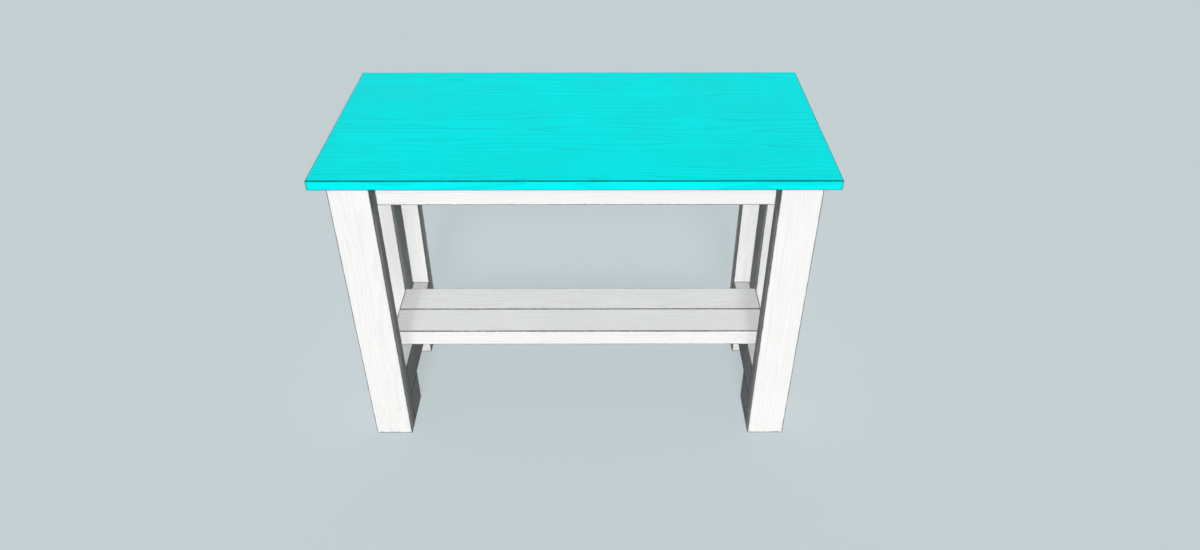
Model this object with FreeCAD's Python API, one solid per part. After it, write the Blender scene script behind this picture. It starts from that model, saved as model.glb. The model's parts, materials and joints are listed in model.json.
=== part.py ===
# A timber workbench: four built-up corner legs, two aprons, end rails, a two-board shelf and a panel top.
# Millimetres, +Z up. The origin is on the floor under the middle of the bench, +X runs along its length,
# and whoever works at it stands on the -Y side.
import FreeCAD, Part
import math
import os

# Timber and panel, as cut
board_thickness = 50.8
board_width = 101.6
leg_length = 838.2
long_board_length = 1066.8
foot_block_length = 101.6
top_thickness = 25.4
top_side_overhang = 25.4
top_front_overhang = 50.8
edge_radius = 3.0
top_edge_radius = 2.5

# Countersunk wood screws with a square drive, whose round stretches have flat sides
screw_sides = 10
head_diameter = 10.0
shank_diameter = 5.0
tip_diameter = 1.0
tip_length = 7.0
drive_width = 3.4
drive_depth = 1.8

# How the screws are set
counterbore_diameter = 12.0
wood_under_sunk_head = 40.8
tip_cover = 11.6
top_tip_cover = 6.4
pair_margin = 25.4
apron_top_screw_count = 4
apron_top_screw_margin = 100.0

# Clearances of the drilled holes, on the radius, and how far a drill runs past a face
head_clearance = 0.1
shank_clearance = 0.25
pilot_clearance = 0.02
drill_overrun = 1.0

# What the stacked boards add up to
SIDES = (("left", -1), ("right", 1))
ENDS = (("front", -1), ("rear", 1))
SHELF_BOARDS = ("front_shelf_board", "rear_shelf_board")

bay_depth = len(SHELF_BOARDS) * board_width
leg_outer_x = long_board_length / 2 + board_thickness
leg_inner_x = leg_outer_x - board_width
side_inner_x = leg_outer_x - board_thickness
rail_inner_x = side_inner_x - board_thickness
side_inner_y = bay_depth / 2
side_outer_y = side_inner_y + board_width
leg_outer_y = side_outer_y + board_thickness
apron_inner_y = side_outer_y - board_thickness
rail_bottom_z = foot_block_length
rail_top_z = rail_bottom_z + board_width
shelf_top_z = rail_top_z + board_thickness
apron_bottom_z = leg_length - board_width


def rounded_section(width, height, radius):
    """A rectangle about the origin in the XY plane, with its four corners rounded, as a face."""
    x, y = width / 2, height / 2
    inset = radius * (1 - 0.5 ** 0.5)

    def point(px, py):
        return FreeCAD.Vector(px, py, 0)

    def corner(sx, sy, start, end):
        middle = point(sx * (x - inset), sy * (y - inset))
        return Part.Arc(start, middle, end)

    right = Part.LineSegment(point(x, radius - y), point(x, y - radius))
    back = Part.LineSegment(point(x - radius, y), point(radius - x, y))
    left = Part.LineSegment(point(-x, y - radius), point(-x, radius - y))
    front = Part.LineSegment(point(radius - x, -y), point(x - radius, -y))
    curves = [
        right, corner(1, 1, right.EndPoint, back.StartPoint),
        back, corner(-1, 1, back.EndPoint, left.StartPoint),
        left, corner(-1, -1, left.EndPoint, front.StartPoint),
        front, corner(1, -1, front.EndPoint, right.StartPoint),
    ]
    return Part.Face(Part.Wire([curve.toShape() for curve in curves]))


def board(x, y, z, grain):
    """A board that fills the spans x, y and z, each given as two ends, its edges along the grain eased."""
    low = FreeCAD.Vector(min(x), min(y), min(z))
    size = FreeCAD.Vector(abs(x[1] - x[0]), abs(y[1] - y[0]), abs(z[1] - z[0]))
    width, height, length, turn = {
        "x": (size.y, size.z, size.x, 120),
        "y": (size.z, size.x, size.y, 240),
        "z": (size.x, size.y, size.z, 0),
    }[grain]
    section = rounded_section(width, height, edge_radius)
    section.translate(FreeCAD.Vector(width / 2, height / 2, 0))
    solid = section.extrude(FreeCAD.Vector(0, 0, length))
    # A third of a turn about the space diagonal takes Z to X, X to Y and Y to Z.
    solid.Placement = FreeCAD.Placement(low, FreeCAD.Rotation(FreeCAD.Vector(1, 1, 1), turn))
    return solid


def make_legs():
    """Each leg is a face board and a side board in an L, with a block in its inner corner under the rail."""
    made = {}
    leg_z = (0, leg_length)
    for end, sy in ENDS:
        side_y = (sy * side_inner_y, sy * side_outer_y)
        face_y = (sy * side_outer_y, sy * leg_outer_y)
        for side, sx in SIDES:
            face_x = (sx * leg_inner_x, sx * leg_outer_x)
            side_x = (sx * side_inner_x, sx * leg_outer_x)
            block_x = (sx * rail_inner_x, sx * side_inner_x)
            made[f"{end}_{side}_leg_face"] = board(face_x, face_y, leg_z, "z")
            made[f"{end}_{side}_leg_side"] = board(side_x, side_y, leg_z, "z")
            made[f"{end}_{side}_foot_block"] = board(block_x, side_y, (0, foot_block_length), "z")
    return made


def make_rails():
    """The lower rails reach from face board to face board, and the upper rails from apron to apron."""
    made = {}
    lower_y = (-side_outer_y, side_outer_y)
    upper_y = (-apron_inner_y, apron_inner_y)
    for side, sx in SIDES:
        rail_x = (sx * rail_inner_x, sx * side_inner_x)
        made[f"{side}_lower_rail"] = board(rail_x, lower_y, (rail_bottom_z, rail_top_z), "y")
        made[f"{side}_upper_rail"] = board(rail_x, upper_y, (apron_bottom_z, leg_length), "y")
    return made


def make_long_boards():
    """The aprons stand behind the face boards, and the shelf boards lie on the lower rails."""
    made = {}
    long_x = (-long_board_length / 2, long_board_length / 2)
    for end, sy in ENDS:
        apron_y = (sy * apron_inner_y, sy * side_outer_y)
        made[f"{end}_apron"] = board(long_x, apron_y, (apron_bottom_z, leg_length), "x")
    for place, name in enumerate(SHELF_BOARDS):
        front_y = place * board_width - side_inner_y
        made[name] = board(long_x, (front_y, front_y + board_width), (rail_top_z, shelf_top_z), "x")
    return made


def make_tabletop():
    """One panel, larger than the legs all round, with the edges of its upper and lower face eased."""
    x = leg_outer_x + top_side_overhang
    y = leg_outer_y + top_front_overhang
    panel = Part.makeBox(2 * x, 2 * y, top_thickness, FreeCAD.Vector(-x, -y, leg_length))
    level_edges = [edge for edge in panel.Edges if edge.BoundBox.ZLength < top_edge_radius]
    return panel.makeFillet(top_edge_radius, level_edges)


def flat_sided(rings):
    """A round form about Z with flat sides, through rings of (diameter, height), closed at both ends."""
    loops = []
    for diameter, height in rings:
        angles = [2 * math.pi * step / screw_sides for step in range(screw_sides)]
        radius = diameter / 2
        loops.append([FreeCAD.Vector(radius * math.cos(a), radius * math.sin(a), height) for a in angles])
    outlines = [loops[0], loops[-1]]
    for low, high in zip(loops, loops[1:]):
        for step in range(screw_sides):
            outlines.append([low[step - 1], low[step], high[step], high[step - 1]])
    faces = [Part.Face(Part.makePolygon(outline + outline[:1])) for outline in outlines]
    return Part.Solid(Part.Shell(faces))


class Screw:
    """A screw from a face of the near board into the far board, and its holes. Z runs in from that face."""

    def __init__(self, group, near, far, face_point, direction, near_depth, bite, sink=0):
        self.group = group
        self.near = near
        self.far = far
        self.near_depth = near_depth
        self.sink = sink
        self.end = near_depth + bite
        drive = FreeCAD.Rotation(FreeCAD.Vector(0, 0, 1), FreeCAD.Vector(*direction))
        self.placement = FreeCAD.Placement(FreeCAD.Vector(*face_point), drive)

    def place(self, solid):
        solid.Placement = self.placement
        return solid

    def solid(self):
        """A right-angled countersunk head, a plain shank and a point, with the drive cut into the head."""
        neck = self.sink + (head_diameter - shank_diameter) / 2
        rings = [(head_diameter, self.sink), (shank_diameter, neck)]
        rings += [(shank_diameter, self.end - tip_length), (tip_diameter, self.end)]
        corner = FreeCAD.Vector(-drive_width / 2, -drive_width / 2, self.sink)
        drive = Part.makeBox(drive_width, drive_width, drive_depth, corner)
        return self.place(flat_sided(rings).cut(drive))

    def near_hole(self):
        """The clearance hole with its countersink, and the counterbore where the head is sunk."""
        head = head_diameter + 2 * head_clearance
        hole = shank_diameter + 2 * shank_clearance
        entry = counterbore_diameter if self.sink else head
        rings = [(entry, -drill_overrun), (entry, self.sink)]
        if self.sink:
            rings.append((head, self.sink))
        rings += [(hole, self.sink + (head - hole) / 2), (hole, self.near_depth + drill_overrun)]
        return self.place(flat_sided(rings))

    def far_hole(self):
        """The pilot hole, a close fit on the screw."""
        pilot = shank_diameter + 2 * pilot_clearance
        tip = tip_diameter + 2 * pilot_clearance
        rings = [(pilot, self.near_depth - drill_overrun), (pilot, self.end - tip_length)]
        return self.place(flat_sided(rings + [(tip, self.end + pilot_clearance)]))


def side_screws():
    """From outside, through the side boards into the foot blocks and the ends of the rails."""
    made = []
    levels = {
        "foot_block": [foot_block_length / 2],
        "lower_rail": [rail_bottom_z + pair_margin, rail_top_z - pair_margin],
        "upper_rail": [apron_bottom_z + pair_margin, leg_length - pair_margin],
    }
    for end, sy in ENDS:
        for side, sx in SIDES:
            for group, heights in levels.items():
                far = f"{end}_{side}_{group}" if group == "foot_block" else f"{side}_{group}"
                for z in heights:
                    point = (sx * leg_outer_x, sy * (side_inner_y + pair_margin), z)
                    made.append(Screw(
                        group, f"{end}_{side}_leg_side", far, point, (-sx, 0, 0),
                        board_thickness, board_thickness - tip_cover))
    return made


def apron_screws():
    """From inside, through the ends of the aprons into the face boards."""
    made = []
    for end, sy in ENDS:
        for side, sx in SIDES:
            for z in (apron_bottom_z + pair_margin, leg_length - pair_margin):
                point = (sx * (side_inner_x - pair_margin), sy * apron_inner_y, z)
                made.append(Screw(
                    "apron", f"{end}_apron", f"{end}_{side}_leg_face", point, (0, sy, 0),
                    board_thickness, board_thickness - tip_cover))
    return made


def screws_from_below():
    """Sunk deep in the lower edges of the rails and aprons, up into the shelf boards and the panel."""
    made = []
    sink = board_width - wood_under_sunk_head
    rail_x = side_inner_x - board_thickness / 2
    apron_y = side_outer_y - board_thickness / 2
    apron_reach = long_board_length / 2 - apron_top_screw_margin
    apron_step = 2 * apron_reach / (apron_top_screw_count - 1)
    for side, sx in SIDES:
        for place, name in enumerate(SHELF_BOARDS):
            front_y = place * board_width - side_inner_y
            for y in (front_y + pair_margin, front_y + board_width - pair_margin):
                made.append(Screw(
                    "shelf", f"{side}_lower_rail", name, (sx * rail_x, y, rail_bottom_z), (0, 0, 1),
                    board_width, board_thickness - tip_cover, sink))
    spots = [(f"{side}_upper_rail", sx * rail_x, 0) for side, sx in SIDES]
    for end, sy in ENDS:
        for count in range(apron_top_screw_count):
            spots.append((f"{end}_apron", count * apron_step - apron_reach, sy * apron_y))
    for near, x, y in spots:
        made.append(Screw(
            "tabletop", near, "tabletop", (x, y, apron_bottom_z), (0, 0, 1),
            board_width, top_thickness - top_tip_cover, sink))
    return made


def drilled(boards, screws):
    """The boards, with all the holes of each cut at once."""
    holes = {}
    for screw in screws:
        holes.setdefault(screw.near, []).append(screw.near_hole())
        holes.setdefault(screw.far, []).append(screw.far_hole())
    return {name: solid.cut(holes[name]) if name in holes else solid for name, solid in boards.items()}


def grouped(screws):
    """One group of separate screws for each kind of joint."""
    groups = {}
    for screw in screws:
        groups.setdefault(f"{screw.group}_screws", []).append(screw.solid())
    return {name: Part.makeCompound(solids) for name, solids in groups.items()}


boards = {**make_legs(), **make_rails(), **make_long_boards(), "tabletop": make_tabletop()}
screws = side_screws() + apron_screws() + screws_from_below()
nodes = {**drilled(boards, screws), **grouped(screws)}

os.makedirs("parts", exist_ok=True)
for name, shape in nodes.items():
    shape.exportStep(f"parts/{name}.step")
print(len(nodes), "nodes,", sum(len(shape.Solids) for shape in nodes.values()), "solids")
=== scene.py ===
"""Painted timber workbench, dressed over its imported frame.

Every board, the panel and the screws are built from the frame's own nodes, so that each piece
lies where its node does. Run as a script, the file builds the bench and sets its stage.
"""

import json
import math
from dataclasses import dataclass

import bmesh
import bpy
import numpy as np
from bpy.props import FloatProperty, FloatVectorProperty, IntProperty, PointerProperty
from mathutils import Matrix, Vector, noise


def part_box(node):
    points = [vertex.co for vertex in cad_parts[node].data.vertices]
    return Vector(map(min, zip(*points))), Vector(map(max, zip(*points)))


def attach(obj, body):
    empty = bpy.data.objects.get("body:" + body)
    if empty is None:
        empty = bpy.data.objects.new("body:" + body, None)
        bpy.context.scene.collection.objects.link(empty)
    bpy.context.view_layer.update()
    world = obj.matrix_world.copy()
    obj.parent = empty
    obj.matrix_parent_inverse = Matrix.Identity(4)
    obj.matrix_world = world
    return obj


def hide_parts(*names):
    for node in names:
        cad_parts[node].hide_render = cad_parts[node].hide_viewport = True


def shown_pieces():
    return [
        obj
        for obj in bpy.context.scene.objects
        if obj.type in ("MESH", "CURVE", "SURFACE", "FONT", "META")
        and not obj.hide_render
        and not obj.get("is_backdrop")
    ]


bl_info = {
    "name": "Painted timber workbench",
    "version": (1, 0, 0),
    "blender": (4, 5, 0),
    "location": "3D View > Sidebar > Workbench",
    "description": "Builds the boards, the panel and the screws of a timber workbench, and its stage",
    "category": "Object",
}

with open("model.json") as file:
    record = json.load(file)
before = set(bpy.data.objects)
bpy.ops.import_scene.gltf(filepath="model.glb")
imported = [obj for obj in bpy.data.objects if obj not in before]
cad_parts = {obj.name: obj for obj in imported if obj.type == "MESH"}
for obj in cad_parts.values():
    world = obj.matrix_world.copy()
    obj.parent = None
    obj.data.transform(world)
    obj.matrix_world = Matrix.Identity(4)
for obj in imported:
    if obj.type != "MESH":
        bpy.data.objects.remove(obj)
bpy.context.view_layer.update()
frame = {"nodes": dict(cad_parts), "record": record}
COLOURS = {material["slot"]: material["base_color"] for material in frame["record"]["materials"]}

X, Y, Z = 0, 1, 2
CORNERS = [f"{end}_{side}" for end in ("front", "rear") for side in ("left", "right")]
LEG_BOARDS = [f"{corner}_leg_{board}" for corner in CORNERS for board in ("face", "side")]
FOOT_BLOCKS = [f"{corner}_foot_block" for corner in CORNERS]
RAILS = [f"{side}_{level}_rail" for side in ("left", "right") for level in ("lower", "upper")]
APRONS = ["front_apron", "rear_apron"]
SHELF_BOARDS = ["front_shelf_board", "rear_shelf_board"]
PANEL = "tabletop"
FLUSH_SCREWS = ["foot_block_screws", "lower_rail_screws", "upper_rail_screws", "apron_screws"]
# Screws driven up from inside a board's lower edge, each group with a board that tells how deep.
SUNK_SCREWS = {"shelf_screws": "left_lower_rail", "tabletop_screws": "front_apron"}
SCREW_GROUPS = [*FLUSH_SCREWS, *SUNK_SCREWS]

# Lengths here are in metres, and waves are counted per metre. Places closer than a touch are one.
TOUCH = 1e-6
# Rows of points over an eased edge, which turns by two half corners, and the rows just inside it,
# as multiples of its radius.
EASE_ROWS = 4
HALF_CORNER = 45.0
INNER_ROWS = (1.7, 3.5)
# An edge of the mesh that turns by more than this stays crisp.
CRISP_TURN = math.radians(32.0)

# How the hand-eased radius strays along a board, and where nicks widen it. The four long edges of a
# board lie a lane apart in the noise, so that each strays by itself.
STRAY_WAVES = 8.0
STRAY_LANE = 5.7
NICK_WAVES = 32.0
NICK_LANE = 3.1
NICK_SEED = 40.0
NICK_ONSET = 0.42
NICK_DEPTH = 1.2
# Hollows that planing leaves, drawn out along the grain.
HOLLOW_WAVES = 14.0
HOLLOW_STRETCH = 0.25
# Glue lines on the panel's edges, which paint fills more in some places than in others.
GROOVE_HALF = 0.0004
FILL_WAVES = 22.0
FILL_MEAN = 0.55
FILL_SPREAD = 0.45

# A board's seed sets its place round the heart of the log, and the grain is drawn out along the board.
BOARD_SEEDS = 97
GRAIN_STRETCH = 0.12
LOG_STEP = 0.37
HEART_DISTANCE = 0.075
HEART_TURN = 2.399963
# How far in from an edge its grime, painted shade and wear can reach.
EDGE_REACH = 0.009

# Screws: points round a ring, rings in one turn of the thread, and how narrow its crest is.
SIDES = 24
RINGS_PER_TURN = 5.0
CREST_SHARPNESS = 3.2
# The thread rises, and fades again, over one part in this many of its length.
THREAD_FADE = 12.0
THREAD_START = 0.0015
NECK_TAPER = 0.001
TIP_BLUNTING = 0.0005
TIP_RADIUS = 0.0003
HEAD_TRIM = 0.0001
# The flat of a head and its rounded rim: share of the head's radius, and depth under its face.
HEAD_PROFILE = ((0.62, 0.0), (0.93, 0.0), (0.99, 0.00015))
SOCKET_TAPER = 0.86
SOCKET_FLARE = 1.08
SOCKET_CHAMFER = 0.0001
# How far outside the wood a hole, or the bore of a sunk head, is started.
HOLE_LEAD = 0.002
BORE_LEAD = 0.004

# A lamp or camera that is turned up by this looks level.
LEVEL = math.radians(90.0)
SENSOR_WIDTH = 36.0


class TimberSettings(bpy.types.PropertyGroup):
    """How the boards are sawn, eased and painted."""

    edge_ease: FloatProperty(
        name="Edge ease", description="Radius of a board's long edges",
        default=0.003, min=0.0005, max=0.01, unit="LENGTH")
    end_ease: FloatProperty(
        name="End ease", description="Radius of the edges round a board's sawn ends",
        default=0.0009, min=0.0002, max=0.005, unit="LENGTH")
    ease_spread: FloatProperty(
        name="Ease spread", description="How far the hand-eased radius strays, as a share of it",
        default=0.3, min=0.0, max=0.6, subtype="FACTOR")
    hollow: FloatProperty(
        name="Hollow", description="Depth of the shallow hollows that planing leaves in a face",
        default=0.00022, min=0.0, max=0.001, unit="LENGTH")
    mesh_step: FloatProperty(
        name="Mesh step", description="Usual side of a mesh face on a board",
        default=0.022, min=0.008, max=0.1, unit="LENGTH")
    colour: FloatVectorProperty(
        name="Colour", description="White paint on the boards",
        default=COLOURS["white_painted_timber"], min=0.0, max=1.0, subtype="COLOR")
    bare_colour: FloatVectorProperty(
        name="Bare wood", description="Wood that shows where the paint has worn off, and in drilled holes",
        default=(0.55, 0.43, 0.30), min=0.0, max=1.0, subtype="COLOR")
    knot_colour: FloatVectorProperty(
        name="Knot stain", description="Resin stain of a knot under the paint",
        default=(0.80, 0.72, 0.56), min=0.0, max=1.0, subtype="COLOR")


class PanelSettings(bpy.types.PropertyGroup):
    """How the plywood panel on top is edged and painted."""

    edge_ease: FloatProperty(
        name="Edge ease", description="Radius of the panel's edges",
        default=0.0025, min=0.0005, max=0.008, unit="LENGTH")
    ply_count: IntProperty(
        name="Plies", description="Layers of veneer in the panel", default=9, min=3, max=15)
    ply_groove: FloatProperty(
        name="Ply groove", description="Depth of the line between two plies on the panel's edge",
        default=0.00018, min=0.0, max=0.001, unit="LENGTH")
    mesh_step: FloatProperty(
        name="Mesh step", description="Usual side of a mesh face on the panel",
        default=0.024, min=0.008, max=0.1, unit="LENGTH")
    colour: FloatVectorProperty(
        name="Colour", description="Cyan paint on the panel",
        default=COLOURS["cyan_painted_panel"], min=0.0, max=1.0, subtype="COLOR")
    worn_colour: FloatVectorProperty(
        name="Worn colour", description="Paint rubbed thin at the panel's edges and by sliding work",
        default=(0.02, 0.95, 0.95), min=0.0, max=1.0, subtype="COLOR")


class ScrewSettings(bpy.types.PropertyGroup):
    """Shape of the zinc-plated screws."""

    seat: FloatProperty(
        name="Seat", description="How far a head lies under the face it is driven into",
        default=0.0004, min=0.0, max=0.002, unit="LENGTH")
    rim: FloatProperty(
        name="Rim", description="Height of the straight rim round a head",
        default=0.0005, min=0.0002, max=0.002, unit="LENGTH")
    neck_radius: FloatProperty(
        name="Neck radius", description="Radius of the plain part of the shank",
        default=0.0021, min=0.001, max=0.004, unit="LENGTH")
    thread_radius: FloatProperty(
        name="Thread radius", description="Radius over the thread's crest",
        default=0.0025, min=0.001, max=0.004, unit="LENGTH")
    root_radius: FloatProperty(
        name="Root radius", description="Radius at the thread's root",
        default=0.0016, min=0.0005, max=0.003, unit="LENGTH")
    pitch: FloatProperty(
        name="Pitch", description="Length of one turn of the thread",
        default=0.003, min=0.001, max=0.006, unit="LENGTH")
    plain_share: FloatProperty(
        name="Plain share", description="Share of the screw's length that has no thread",
        default=0.4, min=0.1, max=0.8, subtype="FACTOR")
    tip_length: FloatProperty(
        name="Tip length", description="Length of the tapered tip",
        default=0.007, min=0.001, max=0.02, unit="LENGTH")
    drive_width: FloatProperty(
        name="Drive width", description="Side of the square socket in the head",
        default=0.0034, min=0.001, max=0.005, unit="LENGTH")
    drive_depth: FloatProperty(
        name="Drive depth", description="Depth of the square socket",
        default=0.0018, min=0.0005, max=0.004, unit="LENGTH")
    bore_radius: FloatProperty(
        name="Bore radius", description="Radius of the bore that a sunk head lies in",
        default=0.006, min=0.004, max=0.012, unit="LENGTH")
    clearance: FloatProperty(
        name="Clearance", description="Room left round a screw in its hole",
        default=0.00015, min=0.00005, max=0.001, unit="LENGTH")
    colour: FloatVectorProperty(
        name="Colour", description="Bright zinc plate",
        default=COLOURS["zinc_plated_steel"], min=0.0, max=1.0, subtype="COLOR")


class StageSettings(bpy.types.PropertyGroup):
    """Floor, light and camera."""

    floor_colour: FloatVectorProperty(
        name="Floor", description="Pale floor and backdrop as the camera sees them",
        default=(0.552, 0.624, 0.645), min=0.0, max=1.0, subtype="COLOR")
    floor_bounce: FloatProperty(
        name="Floor bounce", description="How much of its light the floor throws back at the bench",
        default=0.12, min=0.0, max=1.0, subtype="FACTOR")
    floor_half: FloatProperty(
        name="Floor reach", description="Half of the floor's width", default=40.0, min=5.0, unit="LENGTH")
    floor_evenness: FloatProperty(
        name="Floor evenness", description="Share of the floor's brightness that no shadow changes",
        default=0.4, min=0.0, max=1.0, subtype="FACTOR")
    sky_strength: FloatProperty(
        name="Sky", description="Even light from all round", default=0.16, min=0.0, max=1.0)
    key_strength: FloatProperty(
        name="Key", description="Main light from the front", default=3.7, min=0.0, max=10.0)
    key_shadow: FloatProperty(
        name="Key shadow", description="Share of the main light that casts shadows",
        default=0.2, min=0.0, max=1.0, subtype="FACTOR")
    key_height: FloatProperty(
        name="Key height", description="Height of the main light over the horizon",
        default=math.radians(30.6), subtype="ANGLE", unit="ROTATION")
    key_spread: FloatProperty(
        name="Key spread", description="Width of the main light, which softens its shadows",
        default=math.radians(12.0), subtype="ANGLE", unit="ROTATION")
    lift_spread: FloatProperty(
        name="Lift spread", description="Width of the main light's share that casts no shadows",
        default=math.radians(2.0), subtype="ANGLE", unit="ROTATION")
    end_fill: FloatProperty(
        name="End fill", description="Light on each end", default=1.2, min=0.0, max=10.0)
    rear_fill: FloatProperty(
        name="Rear fill", description="Light on the rear", default=2.1, min=0.0, max=10.0)
    fill_height: FloatProperty(
        name="Fill height", description="Height of the fill lights over the horizon",
        default=math.radians(5.0), subtype="ANGLE", unit="ROTATION")
    fill_spread: FloatProperty(
        name="Fill spread", description="Width of the fill lights",
        default=math.radians(3.0), subtype="ANGLE", unit="ROTATION")
    camera_place: FloatVectorProperty(
        name="Camera place", description="Where the camera stands",
        default=(0.0551, -2.0187, 1.8534), subtype="TRANSLATION", unit="LENGTH")
    camera_tilt: FloatProperty(
        name="Camera tilt", description="How far the camera looks down",
        default=math.radians(36.166), subtype="ANGLE", unit="ROTATION")
    camera_turn: FloatProperty(
        name="Camera turn", description="How far the camera turns to its right",
        default=math.radians(0.096), subtype="ANGLE", unit="ROTATION")
    camera_lens: FloatProperty(
        name="Camera lens", description=f"Focal length on a sensor {SENSOR_WIDTH:.0f} mm wide",
        default=26.17, min=5.0, max=200.0, unit="CAMERA")


class WorkbenchSettings(bpy.types.PropertyGroup):
    """All settings of the bench and its stage."""

    timber: PointerProperty(type=TimberSettings)
    panel: PointerProperty(type=PanelSettings)
    screws: PointerProperty(type=ScrewSettings)
    stage: PointerProperty(type=StageSettings)


class Nodes:
    """The nodes of a material or of the world, added one by one and joined by their sockets."""

    def __init__(self, owner):
        owner.use_nodes = True
        self.tree = owner.node_tree
        self.tree.nodes.clear()

    def add(self, kind, inputs, output=None, **choices):
        """Adds a node, sets its inputs to values or joins them to sockets, and gives back one output."""
        node = self.tree.nodes.new(kind)
        for name, choice in choices.items():
            setattr(node, name, choice)
        for key, value in inputs.items():
            if isinstance(value, bpy.types.NodeSocket):
                self.tree.links.new(value, node.inputs[key])
            else:
                node.inputs[key].default_value = value
        return None if output is None else node.outputs[output]


class Finish(Nodes):
    """A material put together from patterns, tones and relief."""

    def __init__(self, name):
        self.material = bpy.data.materials.new(name)
        super().__init__(self.material)

    def place(self):
        """The point's place on the bench, in metres."""
        return self.add("ShaderNodeTexCoord", {}, "Object")

    def attribute(self, name, output):
        """What the mesh stores on its points under that name."""
        return self.add("ShaderNodeAttribute", {}, output, attribute_name=name)

    def speckle(self, vector, scale, detail=2.0, roughness=0.5):
        """Soft noise from 0 to 1."""
        inputs = {"Vector": vector, "Scale": scale, "Detail": detail, "Roughness": roughness}
        return self.add("ShaderNodeTexNoise", inputs, "Fac")

    def growth_rings(self, grain, scale, distortion, detail_scale):
        """Wavering rings round the heart of the log, each with one sharp side."""
        inputs = {
            "Vector": grain, "Scale": scale, "Distortion": distortion,
            "Detail": 2.0, "Detail Scale": detail_scale,
        }
        return self.add(
            "ShaderNodeTexWave", inputs, "Fac", wave_type="RINGS", rings_direction="X", wave_profile="SAW")

    def ramp(self, value, start, end, low=0.0, high=1.0):
        """Runs smoothly from low to high while the value goes from start to end."""
        inputs = {"Value": value, "From Min": start, "From Max": end, "To Min": low, "To Max": high}
        return self.add("ShaderNodeMapRange", inputs, "Result", interpolation_type="SMOOTHSTEP")

    def sum(self, first, second):
        """The two values added."""
        return self.add("ShaderNodeMath", {0: first, 1: second}, "Value", operation="ADD")

    def product(self, first, *others):
        """All the values multiplied."""
        for other in others:
            first = self.add("ShaderNodeMath", {0: first, 1: other}, "Value", operation="MULTIPLY")
        return first

    def stretch(self, vector, factors):
        """The place times these factors: a pattern is drawn out along an axis whose factor is small."""
        return self.add("ShaderNodeVectorMath", {0: vector, 1: factors}, "Vector", operation="MULTIPLY")

    def mix(self, share, first, second):
        """Colour that goes from the first to the second as the share goes from 0 to 1."""
        # The node has sockets of the same names for other kinds of value, so the colours go by number.
        inputs = {"Factor": share, 6: first, 7: second}
        return self.add("ShaderNodeMix", inputs, 2, data_type="RGBA")

    def shade(self, colour, amount):
        """Colour times a grey amount."""
        return self.add("ShaderNodeVectorMath", {0: colour, "Scale": amount}, "Vector", operation="SCALE")

    def relief(self, *layers):
        """Normal of a surface on which each layer's pattern stands up by its depth, in metres."""
        inputs = {"Strength": 1.0}
        for pattern, depth in layers:
            inputs.update({"Height": pattern, "Distance": depth})
            inputs["Normal"] = self.add("ShaderNodeBump", inputs, "Normal")
        return inputs["Normal"]

    def surface(self, inputs):
        """Joins a principled surface with these inputs to the material's output."""
        shader = self.add("ShaderNodeBsdfPrincipled", inputs, "BSDF")
        self.add("ShaderNodeOutputMaterial", {"Surface": shader})
        return self.material


def opaque(colour):
    """The colour with a full fourth part."""
    return (*colour, 1.0)


def brushed_white_paint(timber):
    """Brushed satin paint over softwood: rings and knots show through, edges are grimy, darkened with
    painted shade, and chipped.
    """
    finish = Finish(brushed_white_paint.__name__)
    place = finish.place()
    grain = finish.attribute("grain", "Vector")
    edge = finish.attribute("edge", "Fac")

    rings = finish.growth_rings(grain, scale=52.0, distortion=14.0, detail_scale=0.5)
    fibre = finish.speckle(grain, scale=900.0, detail=3.0, roughness=0.6)
    brush = finish.speckle(
        finish.stretch(grain, (0.5, 1.0, 1.0)), scale=240.0, detail=3.0, roughness=0.65)
    blotch = finish.speckle(place, scale=5.0, detail=3.0, roughness=0.55)
    peel = finish.speckle(place, scale=700.0, detail=1.0)
    rub = finish.speckle(
        finish.stretch(place, (1.0, 1.0, 0.35)), scale=70.0, detail=4.0, roughness=0.7)
    knot_distance = finish.add("ShaderNodeTexVoronoi", {"Vector": place, "Scale": 8.5}, "Distance")
    knot = finish.ramp(knot_distance, 0.125, 0.05)

    # A dark line is painted along every edge: grime, and painted shade in the gaps where boards meet. Some
    # of the paint has chipped off, and shoes have scuffed the feet.
    edge_grime_and_shade = finish.sum(edge, finish.product(rub, 0.35))
    chips = finish.sum(edge, finish.product(rub, 1.1))
    height = finish.add("ShaderNodeSeparateXYZ", {"Vector": place}, "Z")
    scuffs = finish.product(finish.ramp(height, 0.11, 0.0), finish.ramp(rub, 0.5, 0.75))

    tone = finish.product(
        finish.ramp(blotch, 0.3, 0.7, low=0.965, high=1.0),
        finish.ramp(rings, 0.5, 1.0, low=1.0, high=0.94),
        finish.ramp(brush, 0.3, 0.7, low=0.965, high=1.0),
        # Painted shade: every edge goes down to 0.14 of its colour, standing for grime and for the shade
        # in the joints together.
        finish.ramp(edge_grime_and_shade, 0.715, 1.015, low=1.0, high=0.14),
        finish.ramp(scuffs, 0.0, 1.0, low=1.0, high=0.78),
    )
    colour = finish.mix(finish.product(knot, 0.3), opaque(timber.colour), opaque(timber.knot_colour))
    colour = finish.mix(finish.ramp(chips, 1.62, 1.72, high=0.55), colour, opaque(timber.bare_colour))
    roughness = finish.sum(
        finish.ramp(brush, 0.25, 0.75, low=0.46, high=0.6), finish.ramp(scuffs, 0.0, 1.0, high=0.2))
    return finish.surface({
        "Base Color": finish.shade(colour, tone),
        "Roughness": roughness,
        "Specular IOR Level": 0.15,
        "Normal": finish.relief(
            (rings, 0.00012), (knot, 0.0004), (brush, 0.00012), (fibre, 0.00005), (peel, 0.00002)),
    })


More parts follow.
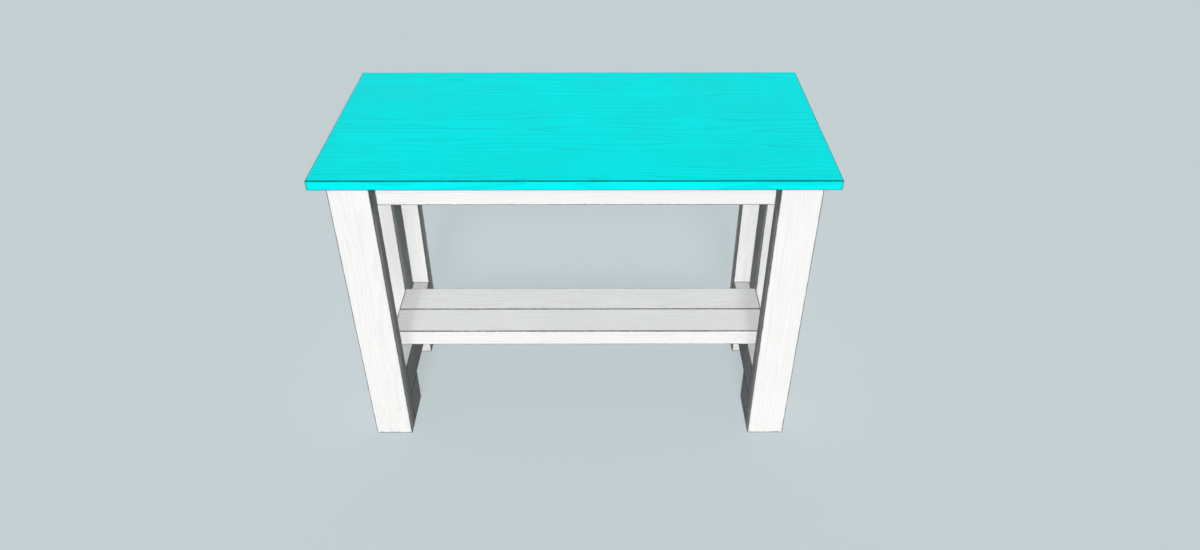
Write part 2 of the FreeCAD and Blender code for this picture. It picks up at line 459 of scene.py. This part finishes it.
def rolled_cyan_paint(panel):
    """Rolled satin paint over plywood, with grime and painted shade along its edges and rubbed thin by
    sliding work.
    """
    finish = Finish(rolled_cyan_paint.__name__)
    place = finish.place()
    grain = finish.attribute("grain", "Vector")
    edge = finish.attribute("edge", "Fac")

    figure = finish.growth_rings(grain, scale=22.0, distortion=22.0, detail_scale=0.55)
    fibre = finish.speckle(grain, scale=700.0, detail=3.0, roughness=0.6)
    stipple = finish.speckle(place, scale=420.0, detail=2.0, roughness=0.55)
    blotch = finish.speckle(place, scale=4.0, detail=4.0, roughness=0.6)
    rub = finish.speckle(place, scale=60.0, detail=4.0, roughness=0.7)
    lengthwise = finish.speckle(
        finish.stretch(place, (6.0, 150.0, 20.0)), scale=1.0, detail=3.0, roughness=0.6)
    crosswise = finish.speckle(
        finish.stretch(place, (170.0, 9.0, 20.0)), scale=1.0, detail=3.0, roughness=0.6)

    edge_grime_and_shade = finish.sum(edge, finish.product(rub, 0.18))
    rubbed = finish.ramp(finish.sum(edge, finish.product(rub, 1.1)), 1.6, 1.75)
    slid = finish.sum(finish.ramp(lengthwise, 0.68, 0.78), finish.ramp(crosswise, 0.7, 0.8))
    worn = finish.sum(finish.product(rubbed, 0.5), finish.product(slid, 0.3))

    tone = finish.product(
        finish.ramp(blotch, 0.3, 0.7, low=0.9, high=0.98),
        finish.ramp(figure, 0.45, 1.0, low=1.0, high=0.9),
        finish.ramp(stipple, 0.3, 0.7, low=0.96, high=1.0),
        # Painted shade: every edge goes down to 0.18 of its colour, standing for grime and for the shade
        # at the edges together.
        finish.ramp(edge_grime_and_shade, 0.68, 0.94, low=1.0, high=0.18),
    )
    colour = finish.mix(worn, opaque(panel.colour), opaque(panel.worn_colour))
    roughness = finish.sum(
        finish.ramp(blotch, 0.3, 0.7, low=0.46, high=0.56), finish.ramp(slid, 0.0, 1.0, high=0.12))
    return finish.surface({
        "Base Color": finish.shade(colour, tone),
        "Roughness": roughness,
        "Specular IOR Level": 0.08,
        "Normal": finish.relief((figure, 0.00008), (fibre, 0.00004), (stipple, 0.00008)),
    })


def bright_zinc(screws):
    """Bright zinc with faint clouding and turning marks."""
    finish = Finish(bright_zinc.__name__)
    place = finish.place()
    cloud = finish.speckle(place, scale=420.0, detail=3.0, roughness=0.6)
    marks = finish.speckle(place, scale=2600.0)
    return finish.surface({
        "Base Color": finish.shade(screws.colour, finish.ramp(cloud, 0.3, 0.7, low=0.82, high=1.0)),
        "Metallic": 1.0,
        "Roughness": finish.ramp(cloud, 0.3, 0.7, low=0.34, high=0.2),
        "Normal": finish.relief((marks, 0.00001)),
    })


def drilled_wood(timber):
    """Raw wood on the wall of a drilled hole: torn fibres, darkened by heat and dust and by painted shade
    of the hole.
    """
    finish = Finish(drilled_wood.__name__)
    place = finish.place()
    fibre = finish.speckle(place, scale=1500.0, detail=3.0, roughness=0.65)
    burn_and_hole_shade = finish.speckle(place, scale=120.0)
    # Painted shade: the whole wall is darkened to between 0.35 and 0.6 of the bare wood, in place of the
    # shade inside the hole.
    tone = finish.product(
        finish.ramp(fibre, 0.3, 0.7, low=0.7, high=1.0), finish.ramp(burn_and_hole_shade, 0.35, 0.7, low=0.35, high=0.6))
    return finish.surface({
        "Base Color": finish.shade(timber.bare_colour, tone),
        "Roughness": finish.ramp(fibre, 0.3, 0.7, low=0.75, high=0.9),
        "Specular IOR Level": 0.2,
        "Normal": finish.relief((fibre, 0.0002)),
    })


def kept_finish(make, settings):
    """The material that this function makes, kept under the function's name from its first use."""
    return bpy.data.materials.get(make.__name__) or make(settings)


def side_places(length, ease, step):
    """Places along one side of a block, close together over its eased edges."""
    turns = [math.tan(math.radians(HALF_CORNER * (1.0 - row / EASE_ROWS))) for row in range(EASE_ROWS + 1)]
    start = [ease * (1.0 - turn) for turn in turns] + [ease * row for row in INNER_ROWS]
    count = max(1, round((length - 2.0 * start[-1]) / step))
    middle = np.linspace(start[-1], length - start[-1], count + 1)[1:-1]
    return np.array([*start, *middle, *(length - place for place in reversed(start))])


def block_shell(lines):
    """Points and four-sided faces of a block's surface, through the given places on its three sides."""
    points = []
    faces = []
    found = {}

    def corner(key):
        if key not in found:
            found[key] = len(points)
            points.append([lines[axis][key[axis]] for axis in range(3)])
        return found[key]

    for axis in range(3):
        u, v = (axis + 1) % 3, (axis + 2) % 3
        last = len(lines[axis]) - 1
        for end in (0, last):
            for i in range(len(lines[u]) - 1):
                for j in range(len(lines[v]) - 1):
                    face = []
                    for du, dv in ((0, 0), (1, 0), (1, 1), (0, 1)):
                        key = [0, 0, 0]
                        key[axis], key[u], key[v] = end, i + du, j + dv
                        face.append(corner(tuple(key)))
                    faces.append(face if end else face[::-1])
    return np.array(points), faces


def hand_ease(points, low, high, grain, timber, seed):
    """Radius of the eased edge nearest to each point, which strays along the board and has a few nicks."""
    across = [axis for axis in range(3) if axis != grain]
    middle = (low + high) / 2.0
    radii = []
    for point in points:
        edge = sum(2 ** i for i, axis in enumerate(across) if point[axis] > middle[axis])
        along = float(point[grain])
        stray = noise.noise(Vector((along * STRAY_WAVES, edge * STRAY_LANE, seed)))
        nick = noise.noise(Vector((along * NICK_WAVES, edge * NICK_LANE, seed + NICK_SEED)))
        widened = NICK_DEPTH * max(0.0, nick - NICK_ONSET)
        radii.append(timber.edge_ease * (1.0 + timber.ease_spread * stray + widened))
    return np.array(radii)


def eased(points, low, high, radii):
    """Points of a block moved in over its edges, and the outward direction at each of them."""
    inner = np.clip(points, low + radii, high - radii)
    reach = (points - inner) / radii
    reach /= np.maximum(np.linalg.norm(reach, axis=1, keepdims=True), 1.0)
    return inner + radii * reach, reach


def mesh_of(name, points, faces):
    """A new mesh with these points and faces."""
    mesh = bpy.data.meshes.new(name)
    mesh.from_pydata([tuple(point) for point in points], [], [list(face) for face in faces])
    mesh.validate()
    return mesh


def linked(name, data):
    """A new object with that mesh, lamp or camera, in the scene."""
    thing = bpy.data.objects.new(name, data)
    bpy.context.scene.collection.objects.link(thing)
    return thing


def keep_crisp(mesh):
    """Shades the mesh smoothly, except over its sharp edges."""
    shape = bmesh.new()
    shape.from_mesh(mesh)
    for face in shape.faces:
        face.smooth = True
    for edge in shape.edges:
        edge.smooth = not edge.is_manifold or edge.calc_face_angle() < CRISP_TURN
    shape.to_mesh(mesh)
    shape.free()


def note_grain_and_edges(mesh, low, high, grain, seed):
    """Stores on each point its place along and across the grain, and how near it is to an edge."""
    points = np.empty(len(mesh.vertices) * 3)
    mesh.vertices.foreach_get("co", points)
    points = points.reshape(-1, 3)
    local = np.roll(points - (low + high) / 2.0, -grain, axis=1)
    local[:, 0] *= GRAIN_STRETCH
    turn = HEART_TURN * seed
    local += (LOG_STEP * seed, HEART_DISTANCE * math.cos(turn), HEART_DISTANCE * math.sin(turn))
    mesh.attributes.new("grain", "FLOAT_VECTOR", "POINT").data.foreach_set("vector", local.ravel())
    # A point's second nearest face is the one beyond the edge that it is next to.
    room = np.sort(np.minimum(points - low, high - points), axis=1)[:, 1]
    near = np.clip(1.0 - room / EDGE_REACH, 0.0, 1.0)
    mesh.attributes.new("edge", "FLOAT", "POINT").data.foreach_set("value", near)


@dataclass
class ScrewPlace:
    """One screw of the frame: where its head lies, which way it is driven, and its sizes."""

    head: Vector
    driven: Vector
    length: float
    head_radius: float
    sunk: float

    def reaches(self, low, high):
        """Whether the screw or the bore in front of its head gets into the box between these corners."""
        ends = np.array([self.head - self.driven * self.sunk, self.head + self.driven * self.length])
        return np.all(ends.min(axis=0) <= high + TOUCH) and np.all(ends.max(axis=0) >= low - TOUCH)


def screw_places(group):
    """The screws of one group, read from its CAD node."""
    shape = bmesh.new()
    shape.from_mesh(frame["nodes"][group].data)
    bmesh.ops.remove_doubles(shape, verts=shape.verts, dist=TOUCH)
    seen = set()
    places = []
    for start in shape.verts:
        if start in seen:
            continue
        seen.add(start)
        island = [start]
        for vertex in island:
            for edge in vertex.link_edges:
                other = edge.other_vert(vertex)
                if other not in seen:
                    seen.add(other)
                    island.append(other)
        places.append(screw_place(np.array([vertex.co for vertex in island]), group))
    shape.free()
    return places


def screw_place(points, group):
    """Place and sizes of the one screw that these points belong to."""
    low, high = points.min(axis=0), points.max(axis=0)
    middle = (low + high) / 2.0
    axis = int(np.argmax(high - low))
    spread = points - middle
    spread[:, axis] = 0.0
    reach = np.linalg.norm(spread, axis=1)
    head = middle.copy()
    head[axis] = points[int(np.argmax(reach)), axis]
    driven = Vector((0.0, 0.0, 0.0))
    driven[axis] = 1.0 if head[axis] < middle[axis] else -1.0
    sunk = 0.0
    if group in SUNK_SCREWS:
        sunk = float(head[Z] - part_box(SUNK_SCREWS[group])[0].z)
    return ScrewPlace(Vector(head), driven, float((high - low)[axis]), float(reach.max()), sunk)


def round_ring(depth, radius):
    """Points of a circle at a depth along a screw."""
    turns = [2.0 * math.pi * i / SIDES for i in range(SIDES)]
    return [(radius * math.cos(turn), radius * math.sin(turn), depth) for turn in turns]


def square_ring(depth, width):
    """Points of a square at a depth along a screw."""
    return [
        (x * width / 2.0 / max(abs(x), abs(y)), y * width / 2.0 / max(abs(x), abs(y)), depth)
        for x, y, _ in round_ring(0.0, 1.0)
    ]


def thread_ring(depth, screws, fade):
    """Points round a thread at a depth: the crest winds on as the depth grows."""
    points = []
    for i, (x, y, _) in enumerate(round_ring(0.0, 1.0)):
        turn = (depth / screws.pitch - i / SIDES) % 1.0
        crest = max(0.0, 1.0 - abs(turn - 0.5) * CREST_SHARPNESS) * fade
        radius = screws.root_radius + (screws.thread_radius - screws.root_radius) * crest
        points.append((x * radius, y * radius, depth))
    return points


def screw_rings(place, screws):
    """Rings of a screw from the floor of its socket, over its head and down to its tip."""
    seat = screws.seat
    head = place.head_radius - HEAD_TRIM
    cone = seat + screws.rim + (head - screws.neck_radius)
    plain = place.length * screws.plain_share
    start = plain + THREAD_START
    tip = place.length - screws.tip_length
    rings = [
        square_ring(seat + screws.drive_depth, screws.drive_width * SOCKET_TAPER),
        square_ring(seat + SOCKET_CHAMFER, screws.drive_width),
        square_ring(seat, screws.drive_width * SOCKET_FLARE),
        *(round_ring(seat + depth, head * share) for share, depth in HEAD_PROFILE),
        round_ring(seat + screws.rim, head),
        round_ring(cone, screws.neck_radius),
        round_ring(plain, screws.neck_radius),
        round_ring(plain + NECK_TAPER, screws.root_radius),
    ]
    count = max(2, round((tip - start) / screws.pitch * RINGS_PER_TURN))
    for i in range(count + 1):
        share = i / count
        fade = min(1.0, share * THREAD_FADE, (1.0 - share) * THREAD_FADE)
        rings.append(thread_ring(start + (tip - start) * share, screws, fade))
    rings.append(round_ring(place.length - TIP_BLUNTING, TIP_RADIUS))
    return rings


def hole_rings(place, screws):
    """Rings of the hole that a screw needs, with the bore in front of a sunk head."""
    room = screws.clearance
    head = place.head_radius + room
    neck = screws.thread_radius + room
    cone = screws.seat + screws.rim + room
    rings = [round_ring(-HOLE_LEAD, head)]
    if place.sunk:
        rings = [
            round_ring(-place.sunk - BORE_LEAD, screws.bore_radius),
            round_ring(0.0, screws.bore_radius),
            round_ring(0.0, head),
        ]
    return rings + [
        round_ring(cone, head),
        round_ring(cone + head - neck, neck),
        round_ring(place.length + room, neck),
    ]


def lofted(rings, place):
    """Points and faces of a closed form through these rings, set at a screw's place."""
    side = place.driven.orthogonal().normalized()
    other = place.driven.cross(side)
    points = [
        tuple(place.head + side * x + other * y + place.driven * z) for ring in rings for x, y, z in ring
    ]
    faces = [list(range(SIDES))[::-1]]
    for low in range(0, len(points) - SIDES, SIDES):
        for i in range(SIDES):
            j = (i + 1) % SIDES
            faces.append([low + i, low + j, low + SIDES + j, low + SIDES + i])
    faces.append(list(range(len(points) - SIDES, len(points))))
    return points, faces


def joined_forms(forms):
    """Points and faces of several closed forms as one list each."""
    points = []
    faces = []
    for form_points, form_faces in forms:
        start = len(points)
        points += form_points
        faces += [[start + i for i in face] for face in form_faces]
    return points, faces


def drilled(mesh, low, high, settings):
    """The mesh with the hole of every screw that reaches into its box, bare wood on the holes' walls."""
    places = [place for group in SCREW_GROUPS for place in screw_places(group)]
    forms = [
        lofted(hole_rings(place, settings.screws), place) for place in places if place.reaches(low, high)
    ]
    if not forms:
        return mesh
    board = linked("board_to_drill", mesh)
    tool = linked("drill", mesh_of("drill", *joined_forms(forms)))
    tool.data.materials.append(kept_finish(drilled_wood, settings.timber))
    cut = board.modifiers.new("holes", "BOOLEAN")
    cut.operation = "DIFFERENCE"
    cut.solver = "EXACT"
    cut.material_mode = "TRANSFER"
    cut.object = tool
    finished = bpy.data.meshes.new_from_object(board.evaluated_get(bpy.context.evaluated_depsgraph_get()))
    name = mesh.name
    for used in (board, tool):
        used_mesh = used.data
        bpy.data.objects.remove(used)
        bpy.data.meshes.remove(used_mesh)
    finished.name = name
    return finished


def finish_piece(node, mesh):
    """Puts a finished mesh in the scene in place of its CAD node."""
    keep_crisp(mesh)
    piece = linked(mesh.name, mesh)
    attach(piece, "root")
    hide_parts(node)


def board_seed(node):
    """A number made from the board's name, the same at every run."""
    return 1.0 + sum((i + 1) * ord(letter) for i, letter in enumerate(node)) % BOARD_SEEDS


def build_board(node, grain, settings):
    """Builds one painted board over its CAD node, with the grain along that axis."""
    timber = settings.timber
    seed = board_seed(node)
    low, high = (np.array(corner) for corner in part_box(node))
    across = [axis for axis in range(3) if axis != grain]
    nominal = np.full(3, timber.edge_ease)
    nominal[grain] = timber.end_ease
    lines = [low[i] + side_places(high[i] - low[i], nominal[i], timber.mesh_step) for i in range(3)]
    square, faces = block_shell(lines)
    radii = np.tile(nominal, (len(square), 1))
    radii[:, across] = hand_ease(square, low, high, grain, timber, seed)[:, np.newaxis]
    points, outward = eased(square, low, high, radii)
    for point, out in zip(points, outward):
        spot = Vector(point) * HOLLOW_WAVES
        spot[grain] *= HOLLOW_STRETCH
        dip = timber.hollow * (0.5 + 0.5 * noise.noise(spot + Vector((seed, 0.0, 0.0))))
        point[across] -= out[across] * dip
    mesh = mesh_of(node + "_timber", points, faces)
    mesh.materials.append(kept_finish(brushed_white_paint, timber))
    mesh = drilled(mesh, low, high, settings)
    note_grain_and_edges(mesh, low, high, grain, seed)
    finish_piece(node, mesh)


def panel_levels(levels, glue_lines, low, high, ease):
    """Heights of the panel's rows of points: its eased edges, and three close rows at each glue line."""
    shifts = (-GROOVE_HALF, 0.0, GROOVE_HALF)
    bands = [line + shift for line in glue_lines for shift in shifts]
    rounded = [level for level in levels if min(level - low, high - level) <= ease + TOUCH]
    upright = [level for level in bands if min(level - low, high - level) > ease + TOUCH]
    return np.array(sorted(rounded + upright))


def build_panel(settings):
    """Builds the plywood panel over its CAD node, with faint lines between the plies on its edges."""
    panel = settings.panel
    ease = panel.edge_ease
    low, high = (np.array(corner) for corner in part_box(PANEL))
    ply = (high[Z] - low[Z]) / panel.ply_count
    glue_lines = [low[Z] + ply * i for i in range(1, panel.ply_count)]
    lines = [low[i] + side_places(high[i] - low[i], ease, panel.mesh_step) for i in range(3)]
    lines[Z] = panel_levels(lines[Z], glue_lines, low[Z], high[Z], ease)
    square, faces = block_shell(lines)
    points, outward = eased(square, low, high, np.full((len(square), 3), ease))
    for point, out, start in zip(points, outward, square):
        if min(abs(start[Z] - line) for line in glue_lines) < TOUCH:
            filled = FILL_MEAN + FILL_SPREAD * noise.noise(Vector(start) * FILL_WAVES)
            point[:Z] -= out[:Z] * (panel.ply_groove * filled)
    mesh = mesh_of("tabletop_panel", points, faces)
    mesh.materials.append(kept_finish(rolled_cyan_paint, panel))
    mesh = drilled(mesh, low, high, settings)
    note_grain_and_edges(mesh, low, high, X, board_seed(PANEL))
    finish_piece(PANEL, mesh)


def build_screws(group, settings):
    """Builds the threaded screws of one group over their CAD node."""
    screws = settings.screws
    forms = [lofted(screw_rings(place, screws), place) for place in screw_places(group)]
    mesh = mesh_of(group + "_zinc", *joined_forms(forms))
    mesh.materials.append(kept_finish(bright_zinc, screws))
    finish_piece(group, mesh)


def seen_by_eye(nodes):
    """Socket that is 1 for what the camera, metal or glass sees, and 0 for light bound for the bench."""
    seen = nodes.add("ShaderNodeLightPath", {}, "Is Camera Ray")
    rays = seen.node.outputs
    for kind in ("Is Glossy Ray", "Is Transmission Ray"):
        seen = nodes.add("ShaderNodeMath", {0: seen, 1: rays[kind]}, "Value", operation="MAXIMUM")
    return seen


def open_floor_light(stage):
    """Light that falls on the open floor, as a share of full light."""
    return stage.key_strength * math.sin(stage.key_height) / math.pi + stage.sky_strength


def build_floor(stage):
    """Lays a wide plain floor that looks pale and even, and throws little light back."""
    half = stage.floor_half
    corners = [(-half, -half, 0.0), (half, -half, 0.0), (half, half, 0.0), (-half, half, 0.0)]
    floor = linked("floor", mesh_of("floor", corners, [[0, 1, 2, 3]]))
    even = [part * stage.floor_evenness for part in stage.floor_colour]
    lit = [part * (1.0 - stage.floor_evenness) / open_floor_light(stage) for part in stage.floor_colour]
    dull = [stage.floor_bounce] * 3
    black = [0.0] * 3
    finish = Finish("pale_floor")
    seen = seen_by_eye(finish)
    glow_colour = finish.mix(seen, opaque(black), opaque(even))
    plain_colour = finish.mix(seen, opaque(dull), opaque(lit))
    glow = finish.add("ShaderNodeEmission", {"Color": glow_colour}, "Emission")
    plain = finish.add("ShaderNodeBsdfDiffuse", {"Color": plain_colour}, "BSDF")
    both = finish.add("ShaderNodeAddShader", {0: plain, 1: glow}, "Shader")
    finish.add("ShaderNodeOutputMaterial", {"Surface": both})
    floor.data.materials.append(finish.material)
    floor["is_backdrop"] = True


def build_sky(stage):
    """Even light from all round, which the camera sees as a pale backdrop."""
    world = bpy.data.worlds.new("studio")
    nodes = Nodes(world)
    white = [1.0] * 3
    light_inputs = {"Color": opaque(white), "Strength": stage.sky_strength}
    light = nodes.add("ShaderNodeBackground", light_inputs, "Background")
    backdrop = nodes.add("ShaderNodeBackground", {"Color": opaque(stage.floor_colour)}, "Background")
    either = nodes.add("ShaderNodeMixShader", {0: seen_by_eye(nodes), 1: light, 2: backdrop}, "Shader")
    nodes.add("ShaderNodeOutputWorld", {"Surface": either})
    bpy.context.scene.world = world


def hang_sun(name, strength, spread, height, turn):
    """A far light of that width and height over the horizon, turned round from the front."""
    lamp = bpy.data.lights.new(name, "SUN")
    lamp.energy = strength
    lamp.angle = spread
    sun = linked(name, lamp)
    sun.rotation_euler = (LEVEL - height, 0.0, turn)
    return sun


def hang_lights(stage):
    """Lights the front most, as the camera sees it, and each end and the rear with a weaker light."""
    shadowed = stage.key_strength * stage.key_shadow
    shadowless = stage.key_strength * (1.0 - stage.key_shadow)
    hang_sun("key", shadowed, stage.key_spread, stage.key_height, 0.0)
    # The lift is the main light's other share. It only evens out the shade: it casts no shadow, shows in
    # no gloss and isn't thrown on from one board to the next.
    lift = hang_sun("lift", shadowless, stage.lift_spread, stage.key_height, 0.0)
    lift.data.use_shadow = False
    lift.data.cycles.max_bounces = 0
    lift.visible_glossy = False
    # The fills light the bench alone, so that the floor stays even.
    bench = bpy.data.collections.new("bench")
    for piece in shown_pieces():
        bench.objects.link(piece)
    fills = (
        ("right_fill", stage.end_fill, 90.0),
        ("rear_fill", stage.rear_fill, 180.0),
        ("left_fill", stage.end_fill, 270.0),
    )
    for name, strength, turn in fills:
        fill = hang_sun(name, strength, stage.fill_spread, stage.fill_height, math.radians(turn))
        fill.visible_glossy = False
        fill.light_linking.receiver_collection = bench


def set_camera(stage):
    """Stands the camera in front of the bench and above it."""
    camera = bpy.data.cameras.new("camera")
    camera.sensor_width = SENSOR_WIDTH
    camera.lens = stage.camera_lens
    eye = linked("camera", camera)
    eye.location = stage.camera_place
    eye.rotation_euler = (LEVEL - stage.camera_tilt, 0.0, -stage.camera_turn)
    bpy.context.scene.camera = eye


class WORKBENCH_OT_tabletop(bpy.types.Operator):
    """Build the painted plywood panel"""

    bl_idname = "workbench.tabletop"
    bl_label = "Tabletop"

    def execute(self, context):
        build_panel(context.scene.workbench)
        return {"FINISHED"}


class WORKBENCH_OT_legs(bpy.types.Operator):
    """Build the face and side boards of the four legs"""

    bl_idname = "workbench.legs"
    bl_label = "Legs"

    def execute(self, context):
        for node in LEG_BOARDS:
            build_board(node, Z, context.scene.workbench)
        return {"FINISHED"}


class WORKBENCH_OT_foot_blocks(bpy.types.Operator):
    """Build the blocks that carry the lower rails"""

    bl_idname = "workbench.foot_blocks"
    bl_label = "Foot blocks"

    def execute(self, context):
        for node in FOOT_BLOCKS:
            build_board(node, Z, context.scene.workbench)
        return {"FINISHED"}


class WORKBENCH_OT_rails(bpy.types.Operator):
    """Build the lower and upper rails of both ends"""

    bl_idname = "workbench.rails"
    bl_label = "Rails"

    def execute(self, context):
        for node in RAILS:
            build_board(node, Y, context.scene.workbench)
        return {"FINISHED"}


class WORKBENCH_OT_aprons(bpy.types.Operator):
    """Build the front and rear aprons under the panel"""

    bl_idname = "workbench.aprons"
    bl_label = "Aprons"

    def execute(self, context):
        for node in APRONS:
            build_board(node, X, context.scene.workbench)
        return {"FINISHED"}


class WORKBENCH_OT_shelf(bpy.types.Operator):
    """Build the two boards of the low shelf"""

    bl_idname = "workbench.shelf"
    bl_label = "Shelf"

    def execute(self, context):
        for node in SHELF_BOARDS:
            build_board(node, X, context.scene.workbench)
        return {"FINISHED"}


class WORKBENCH_OT_screws(bpy.types.Operator):
    """Build the zinc-plated screws"""

    bl_idname = "workbench.screws"
    bl_label = "Screws"

    def execute(self, context):
        for group in SCREW_GROUPS:
            build_screws(group, context.scene.workbench)
        return {"FINISHED"}


class WORKBENCH_OT_stage(bpy.types.Operator):
    """Lay the floor, hang the lights and set the camera"""

    bl_idname = "workbench.stage"
    bl_label = "Stage"

    def execute(self, context):
        stage = context.scene.workbench.stage
        build_floor(stage)
        build_sky(stage)
        hang_lights(stage)
        set_camera(stage)
        context.scene.view_settings.view_transform = "Standard"
        return {"FINISHED"}


OPERATORS = (
    WORKBENCH_OT_tabletop,
    WORKBENCH_OT_legs,
    WORKBENCH_OT_foot_blocks,
    WORKBENCH_OT_rails,
    WORKBENCH_OT_aprons,
    WORKBENCH_OT_shelf,
    WORKBENCH_OT_screws,
    WORKBENCH_OT_stage,
)


class WORKBENCH_PT_sidebar(bpy.types.Panel):
    """Lists the steps that build the bench, and its settings"""

    bl_label = "Workbench"
    bl_idname = "WORKBENCH_PT_sidebar"
    bl_space_type = "VIEW_3D"
    bl_region_type = "UI"
    bl_category = "Workbench"

    def draw(self, context):
        for operator in OPERATORS:
            self.layout.operator(operator.bl_idname)
        settings = context.scene.workbench
        for group in (settings.timber, settings.panel, settings.screws, settings.stage):
            box = self.layout.box()
            for name in group.__annotations__:
                box.prop(group, name)


CLASSES = (
    TimberSettings,
    PanelSettings,
    ScrewSettings,
    StageSettings,
    WorkbenchSettings,
    *OPERATORS,
    WORKBENCH_PT_sidebar,
)


def register():
    """Registers the classes and gives the scene its settings."""
    for each in CLASSES:
        bpy.utils.register_class(each)
    bpy.types.Scene.workbench = PointerProperty(type=WorkbenchSettings)


def unregister():
    """Takes the settings and the classes away again."""
    del bpy.types.Scene.workbench
    for each in reversed(CLASSES):
        bpy.utils.unregister_class(each)


def main():
    """Builds the bench and its stage."""
    register()
    bpy.ops.workbench.tabletop()
    bpy.ops.workbench.legs()
    bpy.ops.workbench.foot_blocks()
    bpy.ops.workbench.rails()
    bpy.ops.workbench.aprons()
    bpy.ops.workbench.shelf()
    bpy.ops.workbench.screws()
    bpy.ops.workbench.stage()


if __name__ == "__main__":
    main()
